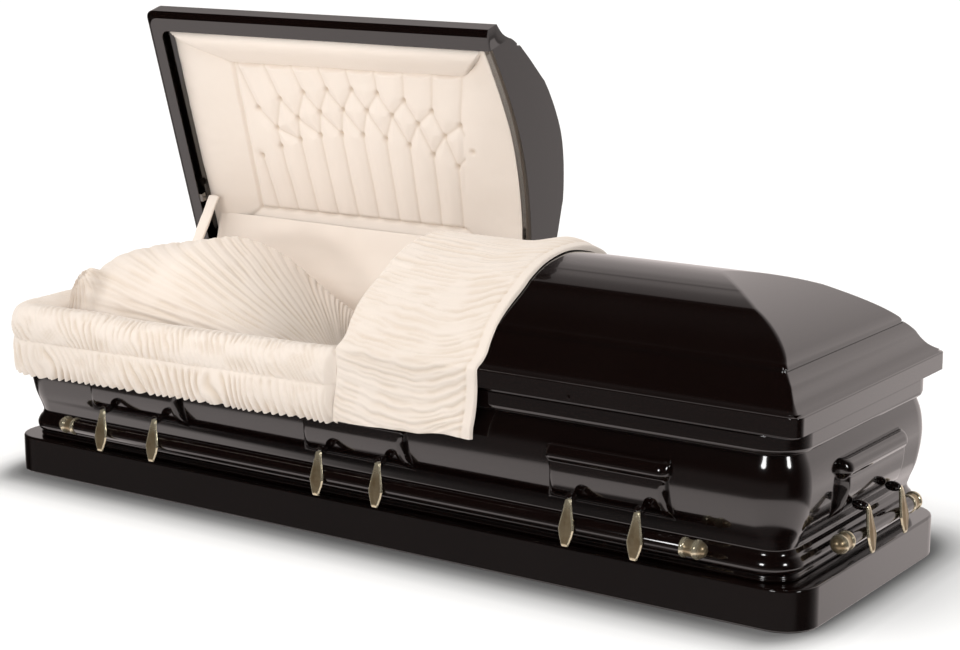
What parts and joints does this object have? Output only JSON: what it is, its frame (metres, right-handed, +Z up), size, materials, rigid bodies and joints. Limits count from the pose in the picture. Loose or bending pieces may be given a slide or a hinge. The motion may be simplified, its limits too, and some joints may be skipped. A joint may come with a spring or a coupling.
{
  "type": "half couch funeral casket",
  "caption": "Half couch metal casket on a plinth, head lid open, urn-shaped sides, swing bar handles all round, cloth lining, pillow and gathered roll.",
  "frame": {"origin": "centre of the flat underside of the plinth", "axes": "+X along the length to the foot end, the front side faces -Y, the hinges are at +Y, +Z up"},
  "size_m": [2.19, 0.8976, 1.092],
  "materials": {
    "paint": "high gloss ebony over steel",
    "brass": "antique, satin",
    "steel": "plated",
    "crepe": "ivory crepe, matt"
  },
  "bodies": {
    "root": {"base_moulding": "paint", "body_shell": "paint", "top_moulding": "paint", "front_lug_head": "paint", "front_lug_middle": "paint", "front_lug_foot": "paint", "back_lug_head": "paint", "back_lug_middle": "paint", "back_lug_foot": "paint", "foot_end_lug": "paint", "head_end_lug": "paint", "head_hinge_inner_body_leaf": "steel", "head_hinge_outer_body_leaf": "steel", "foot_hinge_inner_body_leaf": "steel", "foot_hinge_outer_body_leaf": "steel", "body_lining": "crepe", "bed": "crepe", "pillow": "crepe", "extendover": "crepe"},
    "head_lid": {"head_lid": "paint", "head_lid_lining": "crepe", "head_hinge_inner_lid_leaf": "steel", "head_hinge_outer_lid_leaf": "steel", "support_bracket": "steel"},
    "foot_lid": {"foot_lid": "paint", "foot_lid_lining": "crepe", "foot_hinge_inner_lid_leaf": "steel", "foot_hinge_outer_lid_leaf": "steel", "foot_throw": "crepe", "lock_plug": "paint"},
    "lid_support": {"lid_support": "crepe"},
    "front_handle": {"front_handle_bar": "paint", "front_handle_tip_left": "brass", "front_handle_tip_right": "brass", "front_handle_arm_1": "brass", "front_handle_arm_2": "brass", "front_handle_arm_3": "brass", "front_handle_arm_4": "brass", "front_handle_arm_5": "brass", "front_handle_arm_6": "brass"},
    "back_handle": {"back_handle_bar": "paint", "back_handle_tip_left": "brass", "back_handle_tip_right": "brass", "back_handle_arm_1": "brass", "back_handle_arm_2": "brass", "back_handle_arm_3": "brass", "back_handle_arm_4": "brass", "back_handle_arm_5": "brass", "back_handle_arm_6": "brass"},
    "foot_end_handle": {"foot_end_handle_bar": "paint", "foot_end_handle_tip_left": "brass", "foot_end_handle_tip_right": "brass", "foot_end_handle_arm_1": "brass", "foot_end_handle_arm_2": "brass"},
    "head_end_handle": {"head_end_handle_bar": "paint", "head_end_handle_tip_left": "brass", "head_end_handle_tip_right": "brass", "head_end_handle_arm_1": "brass", "head_end_handle_arm_2": "brass"}
  },
  "joints": [
    {"name": "head_lid_hinge", "type": "hinge", "parent": "root", "child": "head_lid", "pos_m": [0, 0.3637, 0.39], "axis": [1, 0, 0], "range_deg": [0, 73.75], "deforming": ["pillow", "extendover", "foot_throw"]},
    {"name": "foot_lid_hinge", "type": "hinge", "parent": "root", "child": "foot_lid", "pos_m": [0, 0.3637, 0.39], "axis": [1, 0, 0], "range_deg": [-73.75, 0]},
    {"name": "lid_support_pin", "type": "hinge", "parent": "head_lid", "child": "lid_support", "pos_m": [-0.968, 0.3157, 0.5903], "axis": [1, 0, 0], "range_deg": [-131, 0]},
    {"name": "front_handle_swing", "type": "hinge", "parent": "root", "child": "front_handle", "pos_m": [0, -0.373, 0.198], "axis": [-1, 0, 0], "range_deg": [0, 80]},
    {"name": "back_handle_swing", "type": "hinge", "parent": "root", "child": "back_handle", "pos_m": [0, 0.373, 0.198], "axis": [1, 0, 0], "range_deg": [0, 80]},
    {"name": "foot_end_handle_swing", "type": "hinge", "parent": "root", "child": "foot_end_handle", "pos_m": [1.0715, 0, 0.198], "axis": [0, -1, 0], "range_deg": [0, 80]},
    {"name": "head_end_handle_swing", "type": "hinge", "parent": "root", "child": "head_end_handle", "pos_m": [-1.0715, 0, 0.198], "axis": [0, 1, 0], "range_deg": [0, 80]}
  ],
  "couplings": [
    {"joint": "lid_support_pin", "follows": "head_lid_hinge", "ratio": -1.772}
  ]
}
